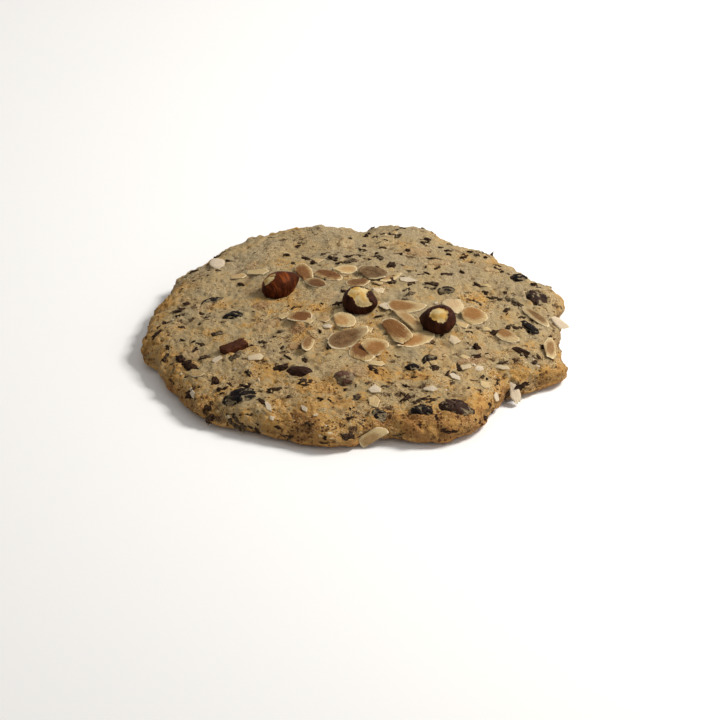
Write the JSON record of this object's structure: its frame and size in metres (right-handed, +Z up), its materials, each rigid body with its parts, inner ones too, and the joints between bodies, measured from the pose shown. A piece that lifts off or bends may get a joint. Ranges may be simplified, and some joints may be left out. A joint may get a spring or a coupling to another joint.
{
  "type": "fruit and nut cookie",
  "caption": "Large round flat drop cookie with a lumpy baked top, uneven rim, hazelnuts, raisins and sliced almonds set in the dough.",
  "frame": {"origin": "centre of the bounding box, on the flat underside", "axes": "+Z up out of the top, +X to the viewer's right in the picture, +Y away from the viewer"},
  "size_m": [0.172, 0.175, 0.0276],
  "materials": {
    "dough": "baked oat-coloured cookie dough, matt, porous, with dark fruit flecks",
    "nut_skin": "dark red-brown hazelnut and almond skin, satin",
    "nut_flesh": "cream nut flesh, lightly toasted, matt",
    "dried_fruit": "black wrinkled raisin skin, glossy where the dough film is gone",
    "chocolate": "dark brown chunk, satin",
    "almond": "thin toasted almond slice, pale rim and brown middle, satin"
  },
  "bodies": {
    "root": {"dough": "dough", "hazelnut_left": "nut_skin", "hazelnut_middle": "nut_skin", "hazelnut_right": "nut_skin", "raisin_front_left": "dried_fruit", "raisin_left": "dried_fruit", "raisin_left_inner": "dried_fruit", "raisin_back_right": "dried_fruit", "raisin_right": "dried_fruit", "raisin_right_rim": "dried_fruit", "raisin_behind_nut": "dried_fruit", "raisin_front": "dried_fruit", "raisin_front_right": "dried_fruit", "raisin_centre_left": "dried_fruit", "raisin_centre_right": "dried_fruit", "raisin_middle_front": "dried_fruit", "raisin_low_front": "dried_fruit", "chocolate_chunk": "chocolate", "almond_piece": "nut_skin", "slice_01": "almond", "slice_02": "almond", "slice_03": "almond", "slice_04": "almond", "slice_05": "almond", "slice_06": "almond", "slice_07": "almond", "slice_08": "almond", "slice_09": "almond", "slice_10": "almond", "slice_11": "almond", "slice_12": "almond", "slice_13": "almond", "slice_14": "almond", "slice_15": "almond", "slice_16": "almond", "slice_17": "almond", "slice_18": "almond", "slice_19": "almond", "slice_20": "almond", "slice_21": "almond", "slice_22": "almond", "slice_23": "almond", "slice_24": "almond", "slice_25": "almond", "slice_26": "almond"}
  },
  "joints": []
}
